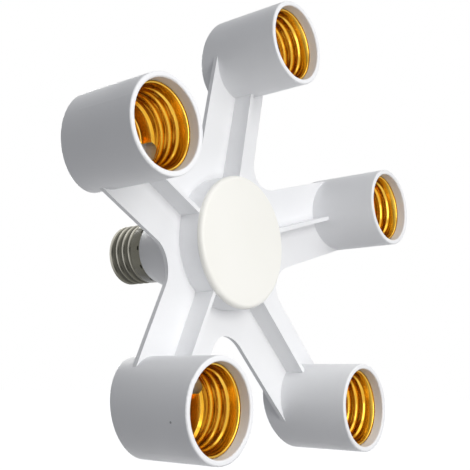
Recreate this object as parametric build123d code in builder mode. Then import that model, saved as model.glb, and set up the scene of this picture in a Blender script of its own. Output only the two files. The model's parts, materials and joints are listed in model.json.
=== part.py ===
from build123d import *
import os
from math import cos, hypot, radians, sin, tan

# Lamp socket adapter: one screw base at the back feeds five screw sockets on the ends of a star.
# The lamp axis is Y and the sockets face the front, -Y, with one arm pointing straight up, +Z.
# The origin is on the lamp axis at the front edge of the metal base. Levels are measured forwards from it.

# Star of arms
arm_count = 5
first_arm_angle = 90.0
cup_circle_radius = 79.0
neck_length = 30.0
arm_rise_angle = 10.8
plate_thickness = 1.8
arm_half_width = 16.6
arm_taper_angle = 1.3
arm_root_radius = 10.7

# Cups at the ends of the arms
cup_radius = 17.2
cup_wall = 2.0
socket_depth = 24.8
mouth_edge_round = 0.6
floor_rise = 2.93
floor_thickness = 2.0
tail_depth = 8.8
tail_rise_angle = 14.0
tail_edge_round = 0.8

# Hub, its cap and the fins that stiffen the arms
hub_radius = 27.0
hub_wall = 2.0
hub_hole_radius = 20.0
fin_thickness = 1.7
fin_height = 9.6
fin_rise_angle = 9.6
cap_thickness = 2.3
cap_inset = 0.1
cap_edge_round = 1.7
cap_plug_depth = 3.0
cap_plug_wall = 2.0

# Rear cover: neck, spigot for the base and lids over the wire channels
channel_width = 9.0
channel_wall = 1.3
lid_thickness = 1.6
neck_rim_radius = 28.0
neck_foot_radius = 13.4
neck_wall = 2.2
spigot_length = 3.2
spigot_bore_radius = 10.5

# Screw shells of the sockets
shell_bore_radius = 13.35
shell_foot_radius = 12.5
shell_thread_length = 14.0
shell_step = 0.8
shell_sheet = 0.4
shell_rim_radius = 14.9
shell_rim_recess = 4.8
shell_flange_radius = 7.5
notch_width = 8.0
notch_height = 5.0
notch_round = 3.0

# Centre contacts and rivets
contact_width = 6.0
contact_sheet = 0.5
contact_foot_start = -5.6
contact_foot_end = -0.8
contact_tongue_start = 3.0
contact_tongue_end = 5.4
contact_rise = 4.4
contact_rivet_offset = -3.2
shell_rivet_offset = -9.8
rivet_radius = 1.1
rivet_head_radius = 1.7
rivet_head_height = 0.8

# Metal base
base_radius = 13.1
base_sheet = 0.5
base_thread_length = 18.4
base_taper_length = 4.5
base_mouth_radius = 8.6
insulator_lip_radius = 8.5
insulator_length = 2.6
insulator_plug_length = 2.0
tip_radius = 5.4
tip_collar_radius = 4.8
tip_collar_length = 2.7
tip_wall = 0.5
tip_height = 1.8
tip_edge = 0.9

# Wires
wire_radius = 0.9
live_end_radius = 3.0
live_bend = 6.0
neutral_sideways = 2.6
neutral_turn_radius = 18.0
neutral_end_radius = 8.6
neutral_end_level = 6.0
neutral_bend = 8.0
socket_bend = 3.0

# Clearances
seam_gap = 0.1
fit_gap = 0.15
wire_gap = 0.2

# Worked out from the sizes above
arm_rise = tan(radians(arm_rise_angle))
tail_rise = tan(radians(tail_rise_angle))
fin_rise = tan(radians(fin_rise_angle))
arm_root_half = arm_half_width + cup_circle_radius * tan(radians(arm_taper_angle))
cup_bore_radius = cup_radius - cup_wall
cup_plate_level = neck_length + arm_rise * cup_circle_radius
floor_level = cup_plate_level + floor_rise
mouth_level = floor_level + socket_depth
floor_back_level = floor_level - floor_thickness
outer_reach = cup_circle_radius + 2 * cup_radius
channel_half = channel_width / 2
strip_half = channel_half + channel_wall
cup_lid_radius = cup_bore_radius - fit_gap
base_tip_level = -(base_thread_length + base_taper_length + insulator_length + tip_height)

forward = Vector(0, -1, 0)
lamp_axis = Axis((0, 0, 0), (0, 1, 0))
front_plane = Plane.XZ
lamp_section = Plane(origin=(0, 0, 0), x_dir=(1, 0, 0), z_dir=(0, 0, -1))


def plate_front(radius):
    """Level of the plate's front face, a shallow dish that climbs towards the cups."""
    return neck_length + arm_rise * radius


def plate_back(radius):
    return plate_front(radius) - plate_thickness


def plate_middle(radius):
    return plate_front(radius) - plate_thickness / 2


def way_top(radius):
    """Level just clear of the plate's back, where the wire way and the neck's rim end."""
    return plate_back(radius) - seam_gap


def fin_top(radius):
    return neck_length + fin_height + fin_rise * radius


def tail(radius):
    """Level of the rear face that the cups and the channel lids share."""
    return cup_plate_level - tail_depth + tail_rise * (radius - cup_circle_radius)


def below_tail(radius):
    return tail(radius) - lid_thickness


def behind_tail(radius):
    """Level well behind everything that the tail face cuts off."""
    return tail(radius) - 2 * cup_radius


def neck_radius(level):
    """Outer radius of the neck's cone at a level between the base and the plate."""
    share = (level - seam_gap) / (way_top(neck_rim_radius) - seam_gap)
    return neck_foot_radius + share * (neck_rim_radius - neck_foot_radius)


def lid_front(radius):
    return tail(radius) + lid_thickness


def channel_edge(radius):
    """Level where the channel walls end, just clear of the lid that closes them."""
    return lid_front(radius) + seam_gap


def channel_middle(radius):
    return (plate_back(radius) + lid_front(radius)) / 2


def base_taper(radius):
    """Level of the inside of the base shell's taper at a radius."""
    slope = base_taper_length / (base_radius - base_mouth_radius)
    return -base_thread_length - slope * (base_radius - base_sheet - radius)


def arm_direction(index):
    angle = radians(first_arm_angle + index * 360 / arm_count)
    return Vector(cos(angle), 0, sin(angle))


def arm_section(index, outward=0.0, sideways=0.0):
    """Plane along one arm, with x outwards and y forwards; its origin can move outwards or sideways."""
    direction = arm_direction(index)
    across = direction.cross(forward)
    return Plane(origin=direction * outward + across * sideways, x_dir=direction, z_dir=across)


def cup_section(index):
    return arm_section(index, outward=cup_circle_radius)


def cup_axis(index):
    return Axis(arm_direction(index) * cup_circle_radius, (0, 1, 0))


def dish(below, above, inner=0.0, outer=outer_reach, mode=Mode.ADD):
    """Ring between two dished levels, each a function of the radius."""
    corners = [(inner, below(inner)), (outer, below(outer)), (outer, above(outer)), (inner, above(inner))]
    with BuildSketch(lamp_section) as profile:
        with BuildLine():
            Polyline(*corners, close=True)
        make_face()
    revolve(profile.sketch, axis=lamp_axis, mode=mode)


def star(half_width, reach, root_half=None, end_radius=0.0, root_radius=0.0, mode=Mode.INTERSECT):
    """Prism of arms, straight or wider at the axis, with round ends and filleted roots where asked for."""
    root_half = root_half or half_width
    corners = [(0, -root_half), (reach, -half_width), (reach, half_width), (0, root_half)]
    with BuildSketch(front_plane.offset(-2 * neck_length)) as outline:
        with PolarLocations(0, arm_count, start_angle=first_arm_angle):
            Polygon(*corners, align=None)
        if root_radius:
            fillet(outline.vertices().sort_by_distance((0, 0, 0))[:arm_count], root_radius)
        if end_radius:
            with PolarLocations(reach, arm_count, start_angle=first_arm_angle):
                Circle(end_radius)
    extrude(outline.sketch, amount=2 * neck_length + 2 * mouth_level, mode=mode)


def neck_room(mode):
    """Cone just clear of the neck's outside, from the base up to the plate's front."""
    front = plate_front(neck_rim_radius)
    with BuildSketch(lamp_section) as profile:
        with BuildLine():
            Polyline(
                (0, 0),
                (neck_radius(0) + fit_gap, 0),
                (neck_radius(front) + fit_gap, front),
                (0, front),
                close=True,
            )
        make_face()
    revolve(profile.sketch, axis=lamp_axis, mode=mode)


def cup_circles(radius, low, high, mode):
    """Round columns on the cup axes between two levels."""
    with BuildSketch(front_plane.offset(low)) as circles:
        with PolarLocations(cup_circle_radius, arm_count, start_angle=first_arm_angle):
            Circle(radius)
    extrude(circles.sketch, amount=high - low, mode=mode)


def rivet_holes(offset, sideways):
    """Holes through the cup floors, at one offset along the arm from each cup axis."""
    for index in range(arm_count):
        with BuildSketch(rivet_plane(index, offset, sideways, floor_back_level - floor_thickness)) as hole:
            Circle(rivet_radius + seam_gap)
        extrude(hole.sketch, amount=3 * floor_thickness, mode=Mode.SUBTRACT)


def rivet_plane(index, offset, sideways, level):
    """Plane facing forwards at a rivet's place, at one level."""
    section = arm_section(index, outward=cup_circle_radius + offset, sideways=sideways)
    return Plane(origin=section.origin + forward * level, x_dir=section.x_dir, z_dir=forward)


def on_tail_rim(edge):
    """Whether an edge runs round the outside of a cup, along its rear face."""
    middle = edge @ 0.5
    place = Vector(middle.X, 0, middle.Z)
    centres = [arm_direction(index) * cup_circle_radius for index in range(arm_count)]
    from_cup_axis = min((place - centre).length for centre in centres)
    from_tail = -middle.Y - tail(hypot(middle.X, middle.Z))
    return abs(from_cup_axis - cup_radius) < seam_gap and abs(from_tail) < seam_gap


def save(piece, name):
    piece.part.label = name
    export_step(piece.part, f"parts/{name}.step")


def make_front_housing():
    """White moulding: dished star plate, cups, hub wall, fins and the walls of the wire channels."""
    with BuildPart() as star_plate:
        dish(plate_back, plate_front, inner=hub_hole_radius)
        star(arm_half_width, cup_circle_radius, arm_root_half, cup_radius, arm_root_radius)
    with BuildPart() as channel_walls:
        dish(below_tail, plate_middle, inner=neck_foot_radius, outer=cup_circle_radius)
        star(strip_half, cup_circle_radius)
        star(channel_half, cup_circle_radius, mode=Mode.SUBTRACT)
        neck_room(Mode.SUBTRACT)
    way_start = cup_circle_radius - cup_radius - cup_wall
    with BuildPart() as wire_way:
        dish(behind_tail, way_top, inner=way_start, outer=cup_circle_radius)
        star(channel_half, cup_circle_radius)
    with BuildPart() as lid_way:
        dish(behind_tail, channel_edge, inner=neck_foot_radius, outer=cup_circle_radius)
        star(strip_half + fit_gap, cup_circle_radius)
    fin_start = hub_radius - hub_wall / 2
    fin_end = cup_circle_radius - cup_radius + cup_wall / 2
    with BuildPart() as housing:
        add(star_plate.part)
        add(channel_walls.part)
        cup_circles(cup_radius, tail(hub_radius), mouth_level, Mode.ADD)
        with BuildSketch(front_plane.offset(plate_middle(hub_radius))):
            Circle(hub_radius)
            Circle(hub_radius - hub_wall, mode=Mode.SUBTRACT)
        extrude(amount=fin_top(hub_radius) - plate_middle(hub_radius))
        for index in range(arm_count):
            with BuildSketch(arm_section(index)):
                with BuildLine():
                    Polyline(
                        (fin_start, plate_middle(fin_start)),
                        (fin_end, plate_middle(fin_end)),
                        (fin_end, fin_top(fin_end)),
                        (hub_radius, fin_top(hub_radius)),
                        (fin_start, fin_top(hub_radius)),
                        close=True,
                    )
                make_face()
            extrude(amount=fin_thickness / 2, both=True)
        dish(behind_tail, tail, inner=neck_foot_radius, mode=Mode.SUBTRACT)
        fillet(housing.edges().filter_by(on_tail_rim), tail_edge_round)
        cup_circles(cup_bore_radius, tail(0), floor_back_level, Mode.SUBTRACT)
        cup_circles(cup_bore_radius, floor_level, mouth_level, Mode.SUBTRACT)
        add(wire_way.part, mode=Mode.SUBTRACT)
        add(lid_way.part, mode=Mode.SUBTRACT)
        rivet_holes(contact_rivet_offset, 0)
        rivet_holes(shell_rivet_offset, neutral_sideways)
        fillet(housing.edges().filter_by(GeomType.CIRCLE).group_by(Axis.Y)[0], mouth_edge_round)
    save(housing, "front_housing")


def make_rear_cover():
    """White moulding: conical neck with a spigot for the base, and lids behind the arms and the cups."""
    lid_start = neck_radius(tail(neck_rim_radius)) - neck_wall / 2
    with BuildPart() as lids:
        dish(tail, lid_front, inner=lid_start)
        star(strip_half, cup_circle_radius, end_radius=cup_lid_radius)
    with BuildPart() as wire_way:
        dish(channel_edge, plate_back, inner=spigot_bore_radius, outer=cup_circle_radius)
        star(channel_half, cup_circle_radius)
    spigot_radius = base_radius - base_sheet - seam_gap
    rim_inner_radius = neck_rim_radius - neck_wall
    with BuildPart() as cover:
        with BuildSketch(lamp_section):
            with BuildLine():
                Polyline(
                    (spigot_bore_radius, -spigot_length),
                    (spigot_radius, -spigot_length),
                    (spigot_radius, seam_gap),
                    (neck_foot_radius, seam_gap),
                    (neck_rim_radius, way_top(neck_rim_radius)),
                    (rim_inner_radius, way_top(rim_inner_radius)),
                    (neck_foot_radius - neck_wall, neck_wall),
                    (spigot_bore_radius, 0),
                    close=True,
                )
            make_face()
        revolve(axis=lamp_axis)
        add(lids.part)
        add(wire_way.part, mode=Mode.SUBTRACT)
    save(cover, "rear_cover")


def make_hub_cap():
    """Cream disc that closes the hub, with a rounded front edge and a plug that fits in the hub wall."""
    seat = fin_top(hub_radius) + seam_gap
    plug_radius = hub_radius - hub_wall - fit_gap
    with BuildPart() as cap:
        with BuildSketch(front_plane.offset(seat)):
            Circle(hub_radius - cap_inset)
        extrude(amount=cap_thickness)
        fillet(cap.edges().filter_by(GeomType.CIRCLE).sort_by(Axis.Y)[0], cap_edge_round)
        with BuildSketch(front_plane.offset(seat)):
            Circle(plug_radius)
            Circle(plug_radius - cap_plug_wall, mode=Mode.SUBTRACT)
        extrude(amount=-cap_plug_depth)
    save(cap, "hub_cap")


def make_screw_shell(index):
    """Brass cup with a turned-out rim, a narrower foot on the cup floor and a notch facing the hub."""
    rim_level = mouth_level - shell_rim_recess
    step_level = rim_level - shell_thread_length
    foot_level = floor_level + seam_gap
    section = cup_section(index)
    notch_plane = Plane(
        origin=section.origin + forward * (foot_level + shell_sheet),
        x_dir=section.z_dir,
        z_dir=section.x_dir * -1,
    )
    with BuildPart() as shell:
        with BuildSketch(section):
            with BuildLine():
                Polyline(
                    (shell_flange_radius, foot_level),
                    (shell_foot_radius + shell_sheet, foot_level),
                    (shell_foot_radius + shell_sheet, step_level - shell_step),
                    (shell_bore_radius + shell_sheet, step_level),
                    (shell_bore_radius + shell_sheet, rim_level - shell_sheet),
                    (shell_rim_radius, rim_level - shell_sheet),
                    (shell_rim_radius, rim_level),
                    (shell_bore_radius, rim_level),
                    (shell_bore_radius, step_level),
                    (shell_foot_radius, step_level - shell_step),
                    (shell_foot_radius, foot_level + shell_sheet),
                    (shell_flange_radius, foot_level + shell_sheet),
                    close=True,
                )
            make_face()
        revolve(axis=cup_axis(index))
        with BuildSketch(notch_plane.offset(shell_flange_radius)) as notch:
            Rectangle(notch_width, notch_height, align=(Align.CENTER, Align.MIN))
            fillet(notch.vertices().group_by(Axis.Y)[-1], notch_round)
        extrude(amount=cup_bore_radius - shell_flange_radius, mode=Mode.SUBTRACT)
        with BuildSketch(rivet_plane(index, shell_rivet_offset, neutral_sideways, floor_level)):
            Circle(rivet_radius + seam_gap)
        extrude(amount=2 * shell_sheet, mode=Mode.SUBTRACT)
    save(shell, f"screw_shell_{index + 1}")


def make_centre_contact(index):
    """Bent brass strip: a foot riveted to the cup floor and a sprung tongue over the middle."""
    foot = floor_level + seam_gap
    with BuildPart() as contact:
        with BuildSketch(cup_section(index)):
            with BuildLine():
                Polyline(
                    (contact_foot_start, foot),
                    (contact_foot_end, foot),
                    (contact_tongue_start, foot + contact_rise),
                    (contact_tongue_end, foot + contact_rise),
                    (contact_tongue_end, foot + contact_rise + contact_sheet),
                    (contact_tongue_start - contact_sheet, foot + contact_rise + contact_sheet),
                    (contact_foot_end - contact_sheet, foot + contact_sheet),
                    (contact_foot_start, foot + contact_sheet),
                    close=True,
                )
            make_face()
        extrude(amount=contact_width / 2, both=True)
        with BuildSketch(rivet_plane(index, contact_rivet_offset, 0, floor_level)):
            Circle(rivet_radius + seam_gap)
        extrude(amount=2 * contact_sheet, mode=Mode.SUBTRACT)
    save(contact, f"centre_contact_{index + 1}")


def make_rivets(name, offset, sideways, sheet):
    """One rivet to each cup: a head on the metal sheet, a shank through the floor and a tail behind it."""
    head_level = floor_level + seam_gap + sheet + seam_gap
    tail_level = floor_back_level - seam_gap
    with BuildPart() as rivets:
        for index in range(arm_count):
            with BuildSketch(rivet_plane(index, offset, sideways, tail_level - rivet_head_height)):
                Circle(rivet_head_radius)
            extrude(amount=rivet_head_height)
            with BuildSketch(rivet_plane(index, offset, sideways, tail_level)):
                Circle(rivet_radius)
            extrude(amount=head_level - tail_level)
            with BuildSketch(rivet_plane(index, offset, sideways, head_level)):
                Circle(rivet_head_radius)
            extrude(amount=rivet_head_height)
    save(rivets, name)


def make_wire(name, index, sideways, points, bends):
    """Insulated wire along one arm, in straight runs joined by arcs."""
    with BuildPart() as wire:
        with BuildLine(arm_section(index, sideways=sideways)) as route:
            FilletPolyline(*points, radius=bends)
        with BuildSketch(Plane(origin=route.line @ 0, z_dir=route.line % 0)):
            Circle(wire_radius)
        sweep()
    save(wire, f"{name}_{index + 1}")


def make_wires(index):
    """Live wire from centre contact to base tip, and neutral wire from screw shell to base shell."""
    start_level = floor_back_level - seam_gap - rivet_head_height - wire_gap
    live_start = cup_circle_radius + contact_rivet_offset
    live_end = base_tip_level + tip_height + wire_gap - tip_edge + tip_wall
    live_points = [
        (live_start, start_level),
        (live_start, channel_middle(live_start)),
        (live_end_radius, channel_middle(live_end_radius)),
        (live_end_radius, live_end),
    ]
    make_wire("live_wire", index, 0, live_points, [socket_bend, live_bend])
    neutral_start = cup_circle_radius + shell_rivet_offset
    neutral_end = base_taper(hypot(neutral_end_radius, neutral_sideways) + wire_radius) + 2 * wire_gap
    neutral_points = [
        (neutral_start, start_level),
        (neutral_start, channel_middle(neutral_start)),
        (neutral_turn_radius, channel_middle(neutral_turn_radius)),
        (neutral_end_radius, neutral_end_level),
        (neutral_end_radius, neutral_end),
    ]
    neutral_bends = [socket_bend, neutral_bend, neutral_bend]
    make_wire("neutral_wire", index, neutral_sideways, neutral_points, neutral_bends)


def make_base():
    """Nickel screw shell, black insulator and contact tip of the base that screws into a lampholder."""
    shoulder = -base_thread_length
    mouth = shoulder - base_taper_length
    inner_radius = base_radius - base_sheet
    with BuildPart() as base_shell:
        with BuildSketch(lamp_section):
            with BuildLine():
                Polyline(
                    (base_radius, 0),
                    (base_radius, shoulder),
                    (base_mouth_radius, mouth),
                    (base_mouth_radius - base_sheet, base_taper(base_mouth_radius - base_sheet)),
                    (inner_radius, shoulder),
                    (inner_radius, 0),
                    close=True,
                )
            make_face()
        revolve(axis=lamp_axis)
    save(base_shell, "base_shell")

    plug_radius = base_mouth_radius - base_sheet - seam_gap
    tip_seat = mouth - insulator_length
    bore_radius = tip_collar_radius + seam_gap
    with BuildPart() as insulator:
        with BuildSketch(lamp_section):
            with BuildLine():
                Polyline(
                    (bore_radius, mouth + insulator_plug_length),
                    (plug_radius, mouth + insulator_plug_length),
                    (plug_radius, mouth - seam_gap),
                    (insulator_lip_radius, mouth - seam_gap),
                    (tip_radius, tip_seat),
                    (bore_radius, tip_seat),
                    close=True,
                )
            make_face()
        revolve(axis=lamp_axis)
    save(insulator, "base_insulator")

    collar_top = tip_seat + tip_collar_length
    cup_floor = base_tip_level + tip_height - tip_edge + tip_wall
    with BuildPart() as tip:
        with BuildSketch(lamp_section):
            with BuildLine():
                Polyline(
                    (0, cup_floor),
                    (tip_collar_radius - tip_wall, cup_floor),
                    (tip_collar_radius - tip_wall, collar_top),
                    (tip_collar_radius, collar_top),
                    (tip_collar_radius, tip_seat - seam_gap),
                    (tip_radius, tip_seat - seam_gap),
                    (tip_radius, base_tip_level + tip_edge),
                    (tip_radius - tip_edge, base_tip_level),
                    (0, base_tip_level),
                    close=True,
                )
            make_face()
        revolve(axis=lamp_axis)
    save(tip, "base_tip")


os.makedirs("parts", exist_ok=True)
make_front_housing()
make_rear_cover()
make_hub_cap()
for arm in range(arm_count):
    make_screw_shell(arm)
    make_centre_contact(arm)
    make_wires(arm)
make_rivets("contact_rivets", contact_rivet_offset, 0, contact_sheet)
make_rivets("shell_rivets", shell_rivet_offset, neutral_sideways, shell_sheet)
make_base()
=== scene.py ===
import json
from math import atan2, ceil, cos, hypot, pi, radians, tau

import bpy
from mathutils import Matrix, Vector


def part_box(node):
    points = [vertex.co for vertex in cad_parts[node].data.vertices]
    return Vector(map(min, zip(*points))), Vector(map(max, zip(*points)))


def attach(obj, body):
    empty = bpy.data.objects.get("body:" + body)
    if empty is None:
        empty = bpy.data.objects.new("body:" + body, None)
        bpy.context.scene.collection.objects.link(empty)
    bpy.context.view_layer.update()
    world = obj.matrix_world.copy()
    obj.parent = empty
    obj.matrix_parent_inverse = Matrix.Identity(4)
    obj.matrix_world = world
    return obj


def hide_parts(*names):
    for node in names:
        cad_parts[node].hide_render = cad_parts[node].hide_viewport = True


bl_info = {
    "name": "Lamp Socket Adapter",
    "version": (1, 0, 0),
    "blender": (4, 5, 0),
    "location": "View3D > Sidebar > Adapter",
    "description": "Models a lamp socket adapter's screw threads, finishes its pieces and sets its stage",
    "category": "Object",
}

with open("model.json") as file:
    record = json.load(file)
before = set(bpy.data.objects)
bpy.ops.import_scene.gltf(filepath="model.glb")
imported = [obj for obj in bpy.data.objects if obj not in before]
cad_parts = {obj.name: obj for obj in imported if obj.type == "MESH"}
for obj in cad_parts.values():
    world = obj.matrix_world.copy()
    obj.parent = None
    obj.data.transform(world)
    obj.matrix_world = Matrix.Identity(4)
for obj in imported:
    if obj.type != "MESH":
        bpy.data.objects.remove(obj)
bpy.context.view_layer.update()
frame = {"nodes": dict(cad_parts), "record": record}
nodes = frame["nodes"]

BODY = "root"
MM_PER_METRE = 1000

# The sockets face -Y, so a level is a distance forwards, against Y.
sockets = [mount for mount in frame["record"]["mounts"] if mount["kind"] == "bore"]
socket_numbers = range(1, len(sockets) + 1)
shell_low, shell_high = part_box("screw_shell_1")
base_low, base_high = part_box("base_shell")
SHELL_RIM_LEVEL = -shell_low.y
SHELL_FOOT_LEVEL = -shell_high.y
SHELL_RIM_RADIUS = (shell_high.x - shell_low.x) / 2
SHELL_ROOT_RADIUS = sockets[0]["dims"]["r_mm"] / MM_PER_METRE
SHELL_THREAD_LENGTH = sockets[0]["dims"]["length_mm"] / MM_PER_METRE
BASE_RADIUS = (base_high.x - base_low.x) / 2
BASE_FRONT_LEVEL = -base_low.y
BASE_END_LEVEL = -base_high.y

# Smallest distance that separates two points of a mesh
NEAR = 1e-6

# Faces that meet at less than this are shaded as one smooth surface
SMOOTH_ANGLE = radians(40)

# Segments of a bend in the sheet, of the notch's corners and of a dent's edges
BEND_STEPS = 5
NOTCH_SEGMENTS = 8
DENT_SEGMENTS = 3

# Ends of the range of tones that the points of the metals keep
BRIGHT = 0.0
DARK = 1.0

# Tones at which a metal shows its crest, its root from one to the next, and its dark colour
TONE_STOPS = (0.03, 0.4, 0.6, 1.0)

# Stretch of a noise over which a tint goes from one colour to the other, and a gloss from smooth to rough
TINT_SPAN = (0.35, 0.65)
GLOSS_SPAN = (0.3, 0.7)

# Grain of the finishes, in waves to the metre
DRIFT_GRAIN = 22.0
GLOSS_GRAIN = 95.0
SKIN_GRAIN = 1400.0
WIRE_GRAIN = 700.0
PIT_GRAIN = 900.0
DRAWN_GRAIN = (60, 5000, 60)

# Strength and height of each fine relief
SKIN_BUMP = (0.05, 0.0001)
DRAWN_BUMP = (0.06, 0.00005)
PIT_BUMP = (0.1, 0.0001)

# Smoothest and roughest gloss of each finish
ROUGHNESS = {
    "white_moulding": (0.30, 0.42),
    "cream_moulding": (0.34, 0.46),
    "drawn_brass": (0.13, 0.23),
    "contact_brass": (0.3, 0.44),
    "rivet_nickel": (0.24, 0.38),
    "nickel_plating": (0.2, 0.34),
    "black_insulator": (0.12, 0.22),
    "live_insulation": (0.42, 0.55),
    "neutral_insulation": (0.42, 0.55),
}
PLASTIC_IOR = 1.46

# Darker grain in a wire's insulation, as a share of its colour
WIRE_SHADE = 0.8

# Inputs and output of a node that mixes colours
MIX_FACTOR = 0
MIX_BELOW = 6
MIX_ABOVE = 7
MIX_RESULT = 2

BLACK = (0, 0, 0)
WHITE = (1, 1, 1)
FLOOR_SIZE = 60.0
FLOOR_ROUGHNESS = 0.9

# Share of the way to straight ahead or straight behind at which the fill light stops changing
FILL_FADE = 0.5

# Width of the camera's sensor in mm, and the nearest distance that it sees
SENSOR_WIDTH = 36.0
CLIP_START = 0.01


def length(name, description, default):
    return bpy.props.FloatProperty(
        name=name,
        description=description,
        default=default,
        min=0.0,
        subtype="DISTANCE",
        unit="LENGTH",
        precision=5,
    )


def colour(name, description, default):
    return bpy.props.FloatVectorProperty(
        name=name,
        description=description,
        default=default,
        min=0.0,
        max=1.0,
        size=3,
        subtype="COLOR",
    )


def amount(name, description, default, low=0.0, **settings):
    return bpy.props.FloatProperty(name=name, description=description, default=default, min=low, **settings)


def count(name, description, default, low=0):
    return bpy.props.IntProperty(name=name, description=description, default=default, min=low)


def location(name, description, default):
    return bpy.props.FloatVectorProperty(
        name=name,
        description=description,
        default=default,
        subtype="TRANSLATION",
        unit="LENGTH",
    )


def rotation(name, description, default):
    return bpy.props.FloatVectorProperty(
        name=name,
        description=description,
        default=default,
        size=len(default),
        subtype="EULER",
        unit="ROTATION",
    )


class ThreadSizes(bpy.types.PropertyGroup):
    """Sizes of the rolled threads in the sockets and on the base."""

    pitch: length("Pitch", "Distance between neighbouring turns", 0.003629)
    socket_depth: length("Socket thread depth", "From root to crest of a socket's thread", 0.00075)
    socket_crest: amount("Socket crest", "How narrow the crests of a socket's thread are", 2.2, low=1.0)
    base_depth: length("Base thread depth", "From crest to root of the base's thread", 0.00105)
    base_crest: amount("Base crest", "How narrow the crests of the base's thread are", 2.4, low=1.0)
    fade: length("Fade", "Length over which a thread grows out of the plain sheet", 0.0012)
    steps: count("Steps", "Segments in one turn", 96, low=24)
    profile_steps: count("Profile steps", "Segments from one crest to the next", 18, low=6)


class ShellSizes(bpy.types.PropertyGroup):
    """Sizes of the brass screw shells."""

    sheet: length("Sheet", "Thickness of the brass", 0.0004)
    foot_radius: length("Foot radius", "Inside radius of the smooth foot", 0.0125)
    step: length("Step", "Length of the taper between thread and foot", 0.0008)
    flange_radius: length("Flange radius", "Radius of the hole in the shell's floor", 0.0075)
    bend: length("Bend", "Radius of the bend at the floor", 0.0008)
    mouth_length: length("Mouth length", "From the end of the thread to the flat sheet's rim", 0.0021)
    mouth_radius: length("Mouth radius", "Inside radius of the plain mouth at its rim", 0.0143)
    rim_lift: length("Rim lift", "How far the rolled rim stands in front of the flat sheet", 0.0007)
    rim_roll: length("Rim roll", "Radius of the roll that turns the rim outwards", 0.0003)
    rim_gap: length("Rim gap", "How much smaller the rolled rim is than the flat sheet's edge", 0.0003)
    notch_turns: rotation(
        "Notch turns",
        "How far each shell's notch is turned from the hub, as the shells sit in their cups",
        (0, 0, radians(-11), 0, 0),
    )
    notch_width: length("Notch width", "Width of the notch that faces the hub", 0.0092)
    notch_height: length("Notch height", "Height of the notch above the shell's floor", 0.0065)
    notch_round: length("Notch round", "Radius of the notch's corners", 0.003)


class BaseSizes(bpy.types.PropertyGroup):
    """Sizes of the metal base."""

    sheet: length("Sheet", "Thickness of the plated sheet", 0.0005)
    plain_band: length("Plain band", "Plain length in front of the thread", 0.0052)
    taper_length: length("Taper length", "Length of the taper behind the thread", 0.0045)
    mouth_radius: length("Mouth radius", "Radius at the end of the taper", 0.0086)
    edge_round: length("Edge round", "Radius of the shell's front edge", 0.0003)
    dent_count: count("Dents", "Crimped dents that hold the shell on the neck", 10)
    dent_length: length("Dent length", "Length of a dent round the shell", 0.0018)
    dent_width: length("Dent width", "Width of a dent along the shell", 0.0009)
    dent_depth: length("Dent depth", "How deep a dent is pressed", 0.0004)
    dent_place: length("Dent place", "From the shell's front edge to a dent's middle", 0.0010)


class Darkening(bpy.types.PropertyGroup):
    """How dark the metals are in places, from 0, bright, to 1, dark. The thread roots and the base's
    underside get painted shade from these; the base's band and the shells' feet get plain tones.
    """

    # Painted shade: a shell's thread grows darker towards its roots.
    shell_root: amount("Shell root", "Tone in the roots of a shell's thread", 0.5, max=1.0)
    shell_foot: amount("Shell foot", "Tone of a shell's smooth foot", 0.2, max=1.0)
    # Painted shade: the base's thread grows darker towards its roots.
    base_root: amount("Base root", "Tone in the roots of the base's thread", 0.75, max=1.0)
    base_plain: amount("Base band", "Tone of the base's plain band", 0.42, max=1.0)
    # Painted shade: the base grows darker towards its underside, the crests less than the roots.
    under_crest: amount("Under crest", "How much the base's crests darken on its underside", 0.5, max=1.0)
    under_power: amount("Under power", "How narrow the tarnish on the base's underside is", 1.5)


class Finishes(bpy.types.PropertyGroup):
    """Colours of the mouldings, metals and wires."""

    white: colour("White moulding", "White plastic of the body", (0.86, 0.865, 0.875))
    white_shade: colour("White shade", "Slightly duller white in the same moulding", (0.845, 0.85, 0.865))
    speck: colour("Speck", "Dark grain in the lower left cup", (0.34, 0.34, 0.35))
    cream: colour("Cream cap", "Off-white plastic of the hub cap", (0.93, 0.92, 0.87))
    cream_shade: colour("Cream shade", "Slightly duller cream in the same moulding", (0.915, 0.905, 0.85))
    brass: colour("Brass", "Bright drawn brass on the crests", (0.72, 0.455, 0.07))
    # Brass root: darker, more orange brass painted into the roots of the shells' threads as shade; the
    # shells' feet take a blend of it and the crest brass.
    brass_root: colour("Brass root", "Brass in the thread's roots", (0.76, 0.385, 0.03))
    # Dark brass: painted shade on the shells' floors at the bottom of the cups, and the plain colour of the
    # centre contacts.
    brass_dark: colour("Dark brass", "Tarnished brass of floors and centre contacts", (0.30, 0.19, 0.04))
    nickel: colour("Nickel", "Plated sheet on the crests", (0.50, 0.48, 0.42))
    # Nickel root: painted shade in the roots between the base's crests, and the plain colour of its band.
    nickel_root: colour("Nickel root", "Dull plating between the crests", (0.11, 0.106, 0.086))
    # Dark nickel: painted shade in the base's roots, in its dents and on its underside; the taper behind the
    # thread takes it too.
    nickel_dark: colour("Dark nickel", "Tarnish in roots and dents and underneath", (0.03, 0.029, 0.024))
    insulator: colour("Insulator", "Black glassy insulator", (0.012, 0.012, 0.014))
    insulator_dust: colour("Insulator dust", "Greyer grain in the black insulator", (0.022, 0.021, 0.022))
    live: colour("Live wire", "Brown insulation", (0.13, 0.045, 0.015))
    neutral: colour("Neutral wire", "Blue insulation", (0.02, 0.09, 0.38))


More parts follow.
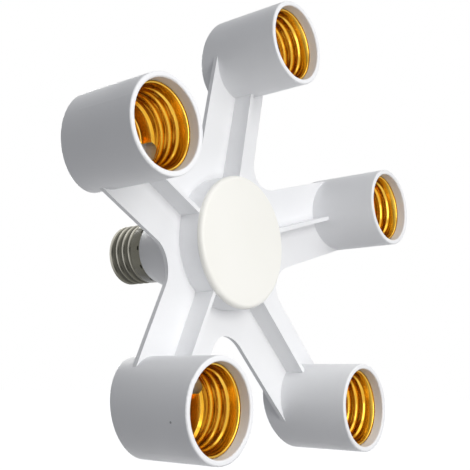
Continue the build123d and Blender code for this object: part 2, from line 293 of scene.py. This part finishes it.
class StageSettings(bpy.types.PropertyGroup):
    """Floor, light and camera."""

    floor_drop: length("Floor drop", "Height of the lamp axis above the floor", 0.5)
    floor_colour: colour("Floor", "Pale floor", (0.90, 0.90, 0.90))
    floor_bounce: colour("Floor bounce", "Floor as stray light meets it", (0.50, 0.50, 0.51))
    floor_glow: amount("Floor glow", "What the floor adds to reach white where it is seen", 0.72)
    fill: amount("Fill", "Strength of the even light from the front half", 0.365)
    fill_behind: amount("Fill behind", "Strength of the even light from the back half", 0.09)
    fill_colour: colour("Fill colour", "Cool tint of the even light", (0.90, 0.93, 1.0))
    softbox_power: amount("Softbox", "Power of the softbox in front", 1.43, unit="POWER")
    softbox_size: length("Softbox size", "Side of a square softbox", 0.36)
    softbox_place: location("Softbox place", "Where the softbox in front hangs", (-0.08, -0.46, 0.03))
    softbox_colour: colour("Softbox colour", "Warm tint of the softboxes", (1.0, 0.99, 0.97))
    back_power: amount("Back light", "Power of the softbox behind", 1.8, unit="POWER")
    back_place: location("Back light place", "Where the softbox behind hangs", (0.30, 0.52, 0.22))
    top_light: amount("Top light", "Strength of the wide light from above", 0.6)
    top_spread: amount(
        "Top spread",
        "Width of the light from above as seen from the object",
        radians(50),
        subtype="ANGLE",
        unit="ROTATION",
    )
    top_turn: rotation(
        "Top direction", "Turn of the light from above from pointing straight down", (radians(30), 0.0, 0.0)
    )
    camera_place: location("Camera place", "Where the camera stands", (-0.25144, -0.23683, -0.05588))
    camera_turn: rotation(
        "Camera turn", "How the camera is turned", (radians(103.865), radians(-1.017), radians(-49.766))
    )
    camera_lens: amount("Lens", "Focal length on a 36 mm wide sensor", 60.83, unit="CAMERA")
    camera_shift: bpy.props.FloatVectorProperty(
        name="Shift",
        description="Shift of the picture, as a share of its width",
        default=(0.0745, -0.1003),
        size=2,
    )


def deselect_all():
    if bpy.context.object is not None and bpy.context.object.mode != "OBJECT":
        bpy.ops.object.mode_set(mode="OBJECT")
    bpy.ops.object.select_all(action="DESELECT")


def make_active(piece):
    deselect_all()
    piece.select_set(True)
    bpy.context.view_layer.objects.active = piece


def draw_profile(name, points):
    """Draws an open line of edges by extruding one vertex from point to point."""
    deselect_all()
    bpy.ops.mesh.primitive_plane_add(size=1.0)
    piece = bpy.context.object
    piece.name = name
    piece.data.name = name
    bpy.ops.object.mode_set(mode="EDIT")
    bpy.ops.mesh.select_mode(type="VERT")
    bpy.ops.mesh.select_all(action="SELECT")
    bpy.ops.mesh.merge(type="CENTER")
    bpy.ops.transform.translate(value=points[0])
    for here, there in zip(points, points[1:]):
        bpy.ops.mesh.extrude_region_move(TRANSFORM_OT_translate={"value": there - here})
    bpy.ops.object.mode_set(mode="OBJECT")
    return piece


def apply_modifier(piece, kind, **settings):
    """Adds a modifier, sets it and applies it."""
    make_active(piece)
    bpy.ops.object.modifier_add(type=kind)
    modifier = piece.modifiers[-1]
    for setting, value in settings.items():
        setattr(modifier, setting, value)
    bpy.ops.object.modifier_apply(modifier=modifier.name)


def trim(piece, level, keep_above):
    """Cuts a piece square to its axis and clears what lies beyond the cut."""
    make_active(piece)
    bpy.ops.object.mode_set(mode="EDIT")
    bpy.ops.mesh.select_all(action="SELECT")
    bpy.ops.mesh.bisect(
        plane_co=(0, 0, level),
        plane_no=(0, 0, 1),
        clear_inner=keep_above,
        clear_outer=not keep_above,
        threshold=NEAR,
    )
    bpy.ops.object.mode_set(mode="OBJECT")


def fade_ends(piece, low, high, fade, radius):
    """Lets a thread grow out of plain round ends of one radius."""
    for name, end in (("low end", low), ("high end", high)):
        group = piece.vertex_groups.new(name=name)
        for vertex in piece.data.vertices:
            share = max(0.0, 1.0 - abs(vertex.co.z - end) / fade)
            group.add([vertex.index], share * share * (3 - 2 * share), "REPLACE")
        apply_modifier(
            piece,
            "CAST",
            cast_type="CYLINDER",
            use_z=False,
            use_radius_as_size=False,
            factor=1.0,
            size=radius,
            vertex_group=name,
        )


def select_edges(piece, wanted):
    """Opens a piece for editing with those edges selected whose two ends pass a test."""
    make_active(piece)
    bpy.ops.object.mode_set(mode="EDIT")
    bpy.ops.mesh.select_mode(type="EDGE")
    bpy.ops.mesh.select_all(action="DESELECT")
    bpy.ops.object.mode_set(mode="OBJECT")
    points = piece.data.vertices
    for edge in piece.data.edges:
        edge.select = wanted(*(points[index].co for index in edge.vertices))
    bpy.ops.object.mode_set(mode="EDIT")


def extend_end(piece, start, path):
    """Extrudes the round edge at a start, given as radius and level, along a path of such pairs."""
    select_edges(piece, lambda one, other: max(abs(one.z - start[1]), abs(other.z - start[1])) < NEAR)
    for (radius, level), (next_radius, next_level) in zip([start] + path, path):
        share = next_radius / radius
        bpy.ops.mesh.extrude_region_move(TRANSFORM_OT_translate={"value": (0, 0, next_level - level)})
        bpy.ops.transform.resize(value=(share, share, 1), center_override=(0, 0, next_level))
    bpy.ops.object.mode_set(mode="OBJECT")


def bend(corner, before, after, radius):
    """Points of a rounded corner between two directions, as pairs of radius and level."""
    corner = Vector(corner)
    start = corner + (Vector(before) - corner).normalized() * radius
    end = corner + (Vector(after) - corner).normalized() * radius
    points = []
    for step in range(BEND_STEPS + 1):
        share = step / BEND_STEPS
        point = start * (1 - share) ** 2 + corner * 2 * share * (1 - share) + end * share ** 2
        points.append((point.x, point.y))
    return points


def close_seams(piece, inwards):
    """Merges doubles and turns the faces of an open shell towards its axis or away from it."""
    make_active(piece)
    bpy.ops.object.mode_set(mode="EDIT")
    bpy.ops.mesh.select_all(action="SELECT")
    bpy.ops.mesh.remove_doubles(threshold=NEAR)
    bpy.ops.mesh.normals_make_consistent(inside=inwards)
    bpy.ops.object.mode_set(mode="OBJECT")
    outwards = sum(face.area * face.normal.xy.dot(face.center.xy) for face in piece.data.polygons)
    if (outwards > 0) == inwards:
        bpy.ops.object.mode_set(mode="EDIT")
        bpy.ops.mesh.flip_normals()
        bpy.ops.object.mode_set(mode="OBJECT")


def thread(name, sizes, crest_radius, root_radius, crest_power, low, high, crest_level):
    """Rolled thread between two levels: a wave, wound up Z, with a crest at one level on the +X side."""
    start = crest_level - sizes.pitch * (ceil((crest_level - low) / sizes.pitch) + 1)
    wave = []
    for step in range(sizes.profile_steps + 1):
        share = step / sizes.profile_steps
        lift = ((1 + cos(tau * share)) / 2) ** crest_power
        radius = root_radius + lift * (crest_radius - root_radius)
        wave.append(Vector((radius, 0, start + sizes.pitch * share)))
    turns = ceil((high - start) / sizes.pitch) + 1
    piece = draw_profile(name, wave)
    apply_modifier(
        piece,
        "SCREW",
        axis="Z",
        angle=tau,
        screw_offset=sizes.pitch,
        iterations=turns,
        steps=sizes.steps,
        render_steps=sizes.steps,
        use_merge_vertices=True,
        merge_threshold=NEAR,
    )
    close_seams(piece, inwards=False)
    trim(piece, low, keep_above=True)
    trim(piece, high, keep_above=False)
    return piece


def groove(point, crest_radius, root_radius):
    """How deep a point lies in a thread, 0 on a crest and 1 in a root."""
    depth = (hypot(point.x, point.y) - crest_radius) / (root_radius - crest_radius)
    return min(1.0, max(0.0, depth))


def mark_tone(piece, tone):
    """Keeps a tone on each point, from bright to dark, as a function of the point gives it."""
    marks = piece.data.attributes.new("tone", "FLOAT", "POINT")
    for vertex, mark in zip(piece.data.vertices, marks.data):
        mark.value = tone(vertex.co)


def smooth(piece):
    make_active(piece)
    bpy.ops.object.shade_smooth_by_angle(angle=SMOOTH_ANGLE)


def dress(piece, material):
    piece.data.materials.clear()
    piece.data.materials.append(material)


def place(piece, matrix):
    """Moves a piece to its place in the frame and leaves its object at the origin."""
    make_active(piece)
    piece.matrix_world = matrix
    bpy.ops.object.transform_apply(location=True, rotation=True, scale=True)


def new_material(name):
    material = bpy.data.materials.new(name)
    material.use_nodes = True
    shader = material.node_tree.nodes["Principled BSDF"]
    return material, shader


def add_node(material, kind, **values):
    """Adds a shader node and sets its inputs, named with underscores for spaces, or its own settings."""
    node = material.node_tree.nodes.new(kind)
    for name, value in values.items():
        title = name.replace("_", " ").title()
        if title in node.inputs:
            node.inputs[title].default_value = value
        else:
            setattr(node, name, value)
    return node


def link(material, source, target):
    material.node_tree.links.new(source, target)


def object_place(material, scale=(1, 1, 1)):
    """Output with the point's place on the object, stretched by a scale."""
    coordinates = add_node(material, "ShaderNodeTexCoord")
    mapping = add_node(material, "ShaderNodeMapping", scale=scale)
    link(material, coordinates.outputs["Object"], mapping.inputs["Vector"])
    return mapping.outputs["Vector"]


def noise(material, vector, scale, detail=2.0):
    texture = add_node(material, "ShaderNodeTexNoise", scale=scale, detail=detail)
    link(material, vector, texture.inputs["Vector"])
    return texture.outputs["Fac"]


def tones(material, factor, *stops):
    """Blends colours as a factor passes the stops, each a place and a colour."""
    ramp = add_node(material, "ShaderNodeValToRGB")
    elements = ramp.color_ramp.elements
    while len(elements) < len(stops):
        elements.new(stops[-1][0])
    for element, (position, tint) in zip(elements, stops):
        element.position = position
        element.color = (*tint, 1)
    link(material, factor, ramp.inputs["Fac"])
    return ramp.outputs["Color"]


def two_tone(material, factor, *tints):
    return tones(material, factor, *zip(TINT_SPAN, tints))


def mix(material, factor, below, above):
    """Goes from one colour to another, each plain or an output, as a factor goes from 0 to 1."""
    node = add_node(material, "ShaderNodeMix", data_type="RGBA")
    link(material, factor, node.inputs[MIX_FACTOR])
    for index, tint in ((MIX_BELOW, below), (MIX_ABOVE, above)):
        if isinstance(tint, bpy.types.NodeSocket):
            link(material, tint, node.inputs[index])
        else:
            node.inputs[index].default_value = (*tint, 1)
    return node.outputs[MIX_RESULT]


def vary_gloss(material, shader, factor, smoothest, roughest):
    """Lets the roughness follow a factor from one value to another."""
    low, high = GLOSS_SPAN
    spread = add_node(
        material, "ShaderNodeMapRange", from_min=low, from_max=high, to_min=smoothest, to_max=roughest
    )
    link(material, factor, spread.inputs["Value"])
    link(material, spread.outputs["Result"], shader.inputs["Roughness"])


def add_bump(material, shader, height, strength, distance):
    bump = add_node(material, "ShaderNodeBump", strength=strength, distance=distance)
    link(material, height, bump.inputs["Height"])
    link(material, bump.outputs["Normal"], shader.inputs["Normal"])


def moulded_plastic(name, first, second):
    """Glossy moulding: faint drifts of tone and gloss, and a fine skin from the mould."""
    material, shader = new_material(name)
    vector = object_place(material)
    drift = noise(material, vector, DRIFT_GRAIN)
    link(material, two_tone(material, drift, first, second), shader.inputs["Base Color"])
    gloss = noise(material, vector, GLOSS_GRAIN, detail=3.0)
    vary_gloss(material, shader, gloss, *ROUGHNESS[name])
    skin = noise(material, vector, SKIN_GRAIN, detail=1.0)
    add_bump(material, shader, skin, *SKIN_BUMP)
    shader.inputs["IOR"].default_value = PLASTIC_IOR
    return material


def add_speck(material, point, radius, tint):
    """One dark grain in the plastic, at a point of the object."""
    shader = material.node_tree.nodes["Principled BSDF"]
    under = shader.inputs["Base Color"].links[0].from_socket
    gap = add_node(material, "ShaderNodeVectorMath", operation="DISTANCE")
    link(material, object_place(material), gap.inputs[0])
    gap.inputs[1].default_value = point
    edge = add_node(
        material, "ShaderNodeMapRange", from_min=radius / 2, from_max=radius, to_min=1.0, to_max=0.0
    )
    link(material, gap.outputs["Value"], edge.inputs["Value"])
    speckled = mix(material, edge.outputs["Result"], under, tint)
    link(material, speckled, shader.inputs["Base Color"])


def threaded_metal(name, crest, root, dark):
    """Sheet metal with drawing lines round its axis, bright on its crests and darker by its points' tone,
    which paints shade into roots, floors, dents and undersides.
    """
    material, shader = new_material(name)
    tone = add_node(material, "ShaderNodeAttribute", attribute_name="tone")
    tint = tones(material, tone.outputs["Fac"], *zip(TONE_STOPS, (crest, root, root, dark)))
    link(material, tint, shader.inputs["Base Color"])
    lines = noise(material, object_place(material, DRAWN_GRAIN), scale=1.0, detail=3.0)
    vary_gloss(material, shader, lines, *ROUGHNESS[name])
    add_bump(material, shader, lines, *DRAWN_BUMP)
    shader.inputs["Metallic"].default_value = 1.0
    return material


def wire_insulation(name, tint):
    """Extruded insulation with a fine, darker grain."""
    material, shader = new_material(name)
    grain = noise(material, object_place(material), WIRE_GRAIN, detail=3.0)
    darker = tuple(WIRE_SHADE * part for part in tint)
    link(material, two_tone(material, grain, darker, tint), shader.inputs["Base Color"])
    vary_gloss(material, shader, grain, *ROUGHNESS[name])
    return material


def glassy_insulator(name, first, second):
    """Glossy black insulator with a finely pitted, dusty face."""
    material, shader = new_material(name)
    pits = noise(material, object_place(material), PIT_GRAIN)
    link(material, two_tone(material, pits, first, second), shader.inputs["Base Color"])
    vary_gloss(material, shader, pits, *ROUGHNESS[name])
    add_bump(material, shader, pits, *PIT_BUMP)
    return material


class ADAPTER_OT_mouldings(bpy.types.Operator):
    """Finish the white housing and rear cover and the cream hub cap"""

    bl_idname = "adapter.mouldings"
    bl_label = "Mouldings"
    bl_options = {"REGISTER", "UNDO"}

    speck_place: location("Speck", "Dark grain on the lower left cup's side", (-0.06325, -0.06600, -0.06755))
    speck_radius: length("Speck radius", "Radius of the dark grain", 0.0005)

    def execute(self, context):
        finishes = context.scene.adapter_finishes
        white = moulded_plastic("white_moulding", finishes.white, finishes.white_shade)
        add_speck(white, self.speck_place, self.speck_radius, finishes.speck)
        cream = moulded_plastic("cream_moulding", finishes.cream, finishes.cream_shade)
        dress(nodes["front_housing"], white)
        dress(nodes["rear_cover"], white)
        dress(nodes["hub_cap"], cream)
        return {"FINISHED"}


class ADAPTER_OT_socket_shells(bpy.types.Operator):
    """Model one threaded brass shell and copy it into every cup"""

    bl_idname = "adapter.socket_shells"
    bl_label = "Socket shells"
    bl_options = {"REGISTER", "UNDO"}

    def model(self, threads, shell, darkening):
        """Shell round Z, levels as in the frame."""
        rim = SHELL_RIM_LEVEL + shell.rim_lift
        floor = SHELL_FOOT_LEVEL + shell.sheet
        low = SHELL_RIM_LEVEL - SHELL_THREAD_LENGTH
        high = SHELL_RIM_LEVEL - shell.mouth_length
        root = SHELL_ROOT_RADIUS
        crest = root - threads.socket_depth
        first_crest = SHELL_RIM_LEVEL - threads.pitch
        piece = thread("screw_shell", threads, crest, root, threads.socket_crest, low, high, first_crest)
        fade_ends(piece, low, high, threads.fade, root)
        edge = SHELL_RIM_RADIUS - shell.rim_gap
        roll = bend((shell.mouth_radius, rim), (root, high), (edge, rim), shell.rim_roll)
        extend_end(piece, (root, high), roll + [(edge, rim)])
        foot = shell.foot_radius
        floor_bend = bend((foot, floor), (foot, low), (shell.flange_radius, floor), shell.bend)
        path = [(foot, low - shell.step)] + floor_bend + [(shell.flange_radius, floor)]
        extend_end(piece, (root, low), path)
        close_seams(piece, inwards=True)
        apply_modifier(piece, "SOLIDIFY", thickness=shell.sheet, offset=-1.0)

        def tone(point):
            if point.z > high - threads.fade / 2:
                return BRIGHT
            # The shell's floor at the bottom of the cup takes the dark tone: painted shade.
            if point.z < floor + shell.bend:
                return DARK
            # Deeper in a root is darker: painted shade in the thread's roots.
            if point.z > low:
                return darkening.shell_root * groove(point, crest, root)
            return darkening.shell_foot

        mark_tone(piece, tone)
        return piece

    def cut_notch(self, piece, shell, angle):
        """Cuts the notch, round at its front corners, out of the wall at an angle round Z."""
        floor = SHELL_FOOT_LEVEL + shell.sheet
        inner, outer = shell.flange_radius, SHELL_RIM_RADIUS
        deselect_all()
        bpy.ops.mesh.primitive_cube_add(size=1.0)
        cutter = bpy.context.object
        depth = shell.notch_height + shell.sheet / 2
        cutter.scale = (outer - inner, shell.notch_width, depth)
        cutter.location = ((inner + outer) / 2, 0, floor + shell.notch_height - depth / 2)
        bpy.ops.object.transform_apply(location=True, rotation=True, scale=True)
        top = max(vertex.co.z for vertex in cutter.data.vertices)
        select_edges(
            cutter, lambda one, other: min(one.z, other.z) > top - NEAR and abs(one.y - other.y) < NEAR
        )
        bpy.ops.mesh.bevel(offset=shell.notch_round, segments=NOTCH_SEGMENTS)
        bpy.ops.object.mode_set(mode="OBJECT")
        cutter.rotation_euler.z = angle
        bpy.ops.object.transform_apply(location=True, rotation=True, scale=True)
        apply_modifier(piece, "BOOLEAN", operation="DIFFERENCE", object=cutter, solver="MANIFOLD")
        bpy.data.objects.remove(cutter)

    def execute(self, context):
        scene = context.scene
        finishes = scene.adapter_finishes
        shell = scene.adapter_shells
        brass = threaded_metal("drawn_brass", finishes.brass, finishes.brass_root, finishes.brass_dark)
        pattern = self.model(scene.adapter_threads, shell, scene.adapter_tarnish)
        dress(pattern, brass)
        for number, socket, turn in zip(socket_numbers, sockets, shell.notch_turns):
            centre = Vector((socket["pos_m"][0], 0, socket["pos_m"][2]))
            piece = pattern.copy()
            piece.data = pattern.data.copy()
            piece.name = f"threaded_shell_{number}"
            scene.collection.objects.link(piece)
            self.cut_notch(piece, shell, atan2(-centre.z, -centre.x) + turn)
            smooth(piece)
            place(piece, Matrix.Translation(centre) @ Matrix.Rotation(pi / 2, 4, "X"))
            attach(piece, BODY)
            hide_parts(f"screw_shell_{number}")
        bpy.data.objects.remove(pattern)
        return {"FINISHED"}


class ADAPTER_OT_contacts(bpy.types.Operator):
    """Finish the centre contacts, the rivets and the wires"""

    bl_idname = "adapter.contacts"
    bl_label = "Contacts and wires"
    bl_options = {"REGISTER", "UNDO"}

    def execute(self, context):
        finishes = context.scene.adapter_finishes
        brass = threaded_metal("contact_brass", finishes.brass_dark, finishes.brass_root, finishes.brass_dark)
        nickel = threaded_metal("rivet_nickel", finishes.nickel, finishes.nickel_root, finishes.nickel_dark)
        live = wire_insulation("live_insulation", finishes.live)
        neutral = wire_insulation("neutral_insulation", finishes.neutral)
        dress(nodes["contact_rivets"], nickel)
        dress(nodes["shell_rivets"], nickel)
        for number in socket_numbers:
            dress(nodes[f"centre_contact_{number}"], brass)
            dress(nodes[f"live_wire_{number}"], live)
            dress(nodes[f"neutral_wire_{number}"], neutral)
        return {"FINISHED"}


class ADAPTER_OT_base(bpy.types.Operator):
    """Model the threaded base shell and finish the insulator and the tip"""

    bl_idname = "adapter.base"
    bl_label = "Base"
    bl_options = {"REGISTER", "UNDO"}

    def model(self, threads, base, darkening):
        """Shell round Z, levels as in the frame."""
        front = BASE_FRONT_LEVEL
        high = front - base.plain_band
        mouth = BASE_END_LEVEL
        low = mouth + base.taper_length
        crest = BASE_RADIUS
        root = crest - threads.base_depth
        piece = thread("threaded_base", threads, crest, root, threads.base_crest, low, high, high)
        fade_ends(piece, low, high, threads.fade, crest)
        turn = bend((crest, front), (crest, low), (0, front), base.edge_round)
        extend_end(piece, (crest, high), turn)
        extend_end(piece, (crest, low), [(base.mouth_radius, mouth)])
        close_seams(piece, inwards=False)
        apply_modifier(piece, "SOLIDIFY", thickness=base.sheet, offset=-1.0)
        self.press_dents(piece, base)

        def tone(point):
            radius = hypot(point.x, point.y)
            plain = point.z > high - threads.fade / 2
            # Dents and the inside of the plain band take the dark tone as painted shade; the taper behind the
            # thread takes the dark tone too.
            if point.z < low or (plain and radius < crest - base.edge_round / 2):
                return DARK
            # Deeper in a root is darker: painted shade in the thread's roots.
            depth = groove(point, crest, root)
            side = darkening.base_plain if plain else darkening.base_root * depth
            most = 1.0 if plain else darkening.under_crest + (1 - darkening.under_crest) * depth
            # Painted shade: darker towards the underside, on the band and in the roots, and on the crests as
            # far as under_crest lets it.
            under = max(0.0, -point.y / radius) ** darkening.under_power
            return side + (DARK - side) * under * most

        mark_tone(piece, tone)
        smooth(piece)
        return piece

    def press_dents(self, piece, base):
        """Presses a ring of crimped dents into the plain band."""
        deselect_all()
        bpy.ops.mesh.primitive_cube_add(size=1.0)
        punch = bpy.context.object
        punch.scale = (2 * base.dent_depth, base.dent_length, base.dent_width)
        punch.location = (BASE_RADIUS, 0, BASE_FRONT_LEVEL - base.dent_place)
        bpy.ops.object.transform_apply(location=True, rotation=True, scale=True)
        bpy.ops.object.mode_set(mode="EDIT")
        bpy.ops.mesh.select_all(action="SELECT")
        bpy.ops.mesh.bevel(offset=base.dent_depth / 2, segments=DENT_SEGMENTS)
        bpy.ops.mesh.select_all(action="SELECT")
        bpy.ops.mesh.spin(
            dupli=True,
            steps=base.dent_count - 1,
            angle=tau * (base.dent_count - 1) / base.dent_count,
            center=(0, 0, 0),
            axis=(0, 0, 1),
        )
        bpy.ops.object.mode_set(mode="OBJECT")
        apply_modifier(piece, "BOOLEAN", operation="DIFFERENCE", object=punch, solver="MANIFOLD")
        bpy.data.objects.remove(punch)

    def execute(self, context):
        scene = context.scene
        finishes = scene.adapter_finishes
        tints = (finishes.nickel, finishes.nickel_root, finishes.nickel_dark)
        plating = threaded_metal("nickel_plating", *tints)
        glass = glassy_insulator("black_insulator", finishes.insulator, finishes.insulator_dust)
        piece = self.model(scene.adapter_threads, scene.adapter_base, scene.adapter_tarnish)
        place(piece, Matrix.Rotation(pi / 2, 4, "X"))
        dress(piece, plating)
        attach(piece, BODY)
        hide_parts("base_shell")
        dress(nodes["base_insulator"], glass)
        dress(nodes["base_tip"], plating)
        return {"FINISHED"}


class ADAPTER_OT_stage(bpy.types.Operator):
    """Set the floor, the light and the camera"""

    bl_idname = "adapter.stage"
    bl_label = "Stage"
    bl_options = {"REGISTER", "UNDO"}

    def seen_directly(self, material):
        """1 where the camera, a reflection or a clear material looks, and 0 for stray light."""
        path = add_node(material, "ShaderNodeLightPath")
        total = path.outputs["Is Camera Ray"]
        for ray in ("Is Glossy Ray", "Is Transmission Ray"):
            both = add_node(material, "ShaderNodeMath", operation="MAXIMUM")
            link(material, total, both.inputs[0])
            link(material, path.outputs[ray], both.inputs[1])
            total = both.outputs["Value"]
        return total

    def blend(self, material, stray, seen):
        """Colour that differs for stray light and for what is seen."""
        return mix(material, self.seen_directly(material), stray, seen)

    def lay_floor(self, stage):
        """Pale floor that meets the white world at the horizon and keeps the object's shadow."""
        deselect_all()
        bpy.ops.mesh.primitive_plane_add(size=FLOOR_SIZE, location=(0, 0, -stage.floor_drop))
        floor = bpy.context.object
        floor.name = "floor"
        material, shader = new_material("pale_floor")
        tint = self.blend(material, stage.floor_bounce, stage.floor_colour)
        link(material, tint, shader.inputs["Base Color"])
        shader.inputs["Roughness"].default_value = FLOOR_ROUGHNESS
        shader.inputs["Specular IOR Level"].default_value = 0.0
        glow = self.blend(material, BLACK, (stage.floor_glow,) * 3)
        link(material, glow, shader.inputs["Emission Color"])
        shader.inputs["Emission Strength"].default_value = 1.0
        dress(floor, material)

    def fill_room(self, stage):
        """Even light, weaker from behind, and white where it is seen."""
        world = bpy.data.worlds.new("studio")
        world.use_nodes = True
        bpy.context.scene.world = world
        direction = add_node(world, "ShaderNodeTexCoord")
        parts = add_node(world, "ShaderNodeSeparateXYZ")
        link(world, direction.outputs["Generated"], parts.inputs["Vector"])
        behind = add_node(world, "ShaderNodeMapRange", from_min=-FILL_FADE, from_max=FILL_FADE)
        link(world, parts.outputs["Y"], behind.inputs["Value"])
        front = tuple(stage.fill * part for part in stage.fill_colour)
        back = tuple(stage.fill_behind * part for part in stage.fill_colour)
        fill = tones(world, behind.outputs["Result"], (0.0, front), (1.0, back))
        background = world.node_tree.nodes["Background"]
        link(world, self.blend(world, fill, WHITE), background.inputs["Color"])
        background.inputs["Strength"].default_value = 1.0

    def hang_lights(self, stage):
        """Wide light from above, and a softbox in front and behind."""
        deselect_all()
        bpy.ops.object.light_add(type="SUN", rotation=stage.top_turn)
        top = bpy.context.object
        top.name = "top_light"
        top.data.energy = stage.top_light
        top.data.angle = stage.top_spread
        self.hang_softbox("softbox", stage, stage.softbox_place, stage.softbox_power)
        self.hang_softbox("back_light", stage, stage.back_place, stage.back_power)

    def hang_softbox(self, name, stage, spot, power):
        """Square softbox at a spot, turned to the adapter."""
        deselect_all()
        towards = Vector(spot).to_track_quat("Z", "Y").to_euler()
        bpy.ops.object.light_add(type="AREA", location=spot, rotation=towards)
        softbox = bpy.context.object
        softbox.name = name
        softbox.data.energy = power
        softbox.data.color = stage.softbox_colour
        softbox.data.size = stage.softbox_size
        softbox.visible_camera = False

    def set_camera(self, stage):
        deselect_all()
        bpy.ops.object.camera_add(location=stage.camera_place, rotation=stage.camera_turn)
        camera = bpy.context.object
        camera.name = "camera"
        camera.data.lens = stage.camera_lens
        camera.data.sensor_width = SENSOR_WIDTH
        camera.data.shift_x, camera.data.shift_y = stage.camera_shift
        camera.data.clip_start = CLIP_START
        bpy.context.scene.camera = camera

    def execute(self, context):
        stage = context.scene.adapter_stage
        context.scene.view_settings.view_transform = "Standard"
        self.lay_floor(stage)
        self.fill_room(stage)
        self.hang_lights(stage)
        self.set_camera(stage)
        return {"FINISHED"}


class ADAPTER_PT_panel(bpy.types.Panel):
    """Steps that dress the adapter, in order"""

    bl_idname = "ADAPTER_PT_panel"
    bl_label = "Lamp Socket Adapter"
    bl_space_type = "VIEW_3D"
    bl_region_type = "UI"
    bl_category = "Adapter"

    def draw(self, context):
        for operator in operators:
            self.layout.operator(operator.bl_idname)


operators = (
    ADAPTER_OT_mouldings,
    ADAPTER_OT_socket_shells,
    ADAPTER_OT_contacts,
    ADAPTER_OT_base,
    ADAPTER_OT_stage,
)
settings = {
    "adapter_threads": ThreadSizes,
    "adapter_shells": ShellSizes,
    "adapter_base": BaseSizes,
    "adapter_tarnish": Darkening,
    "adapter_finishes": Finishes,
    "adapter_stage": StageSettings,
}


def register():
    for name, group in settings.items():
        bpy.utils.register_class(group)
        setattr(bpy.types.Scene, name, bpy.props.PointerProperty(type=group))
    for operator in operators:
        bpy.utils.register_class(operator)
    bpy.utils.register_class(ADAPTER_PT_panel)


def unregister():
    bpy.utils.unregister_class(ADAPTER_PT_panel)
    for operator in reversed(operators):
        bpy.utils.unregister_class(operator)
    for name, group in reversed(list(settings.items())):
        delattr(bpy.types.Scene, name)
        bpy.utils.unregister_class(group)


def main():
    register()
    bpy.ops.adapter.mouldings()
    bpy.ops.adapter.socket_shells()
    bpy.ops.adapter.contacts()
    bpy.ops.adapter.base()
    bpy.ops.adapter.stage()


if __name__ == "__main__":
    main()
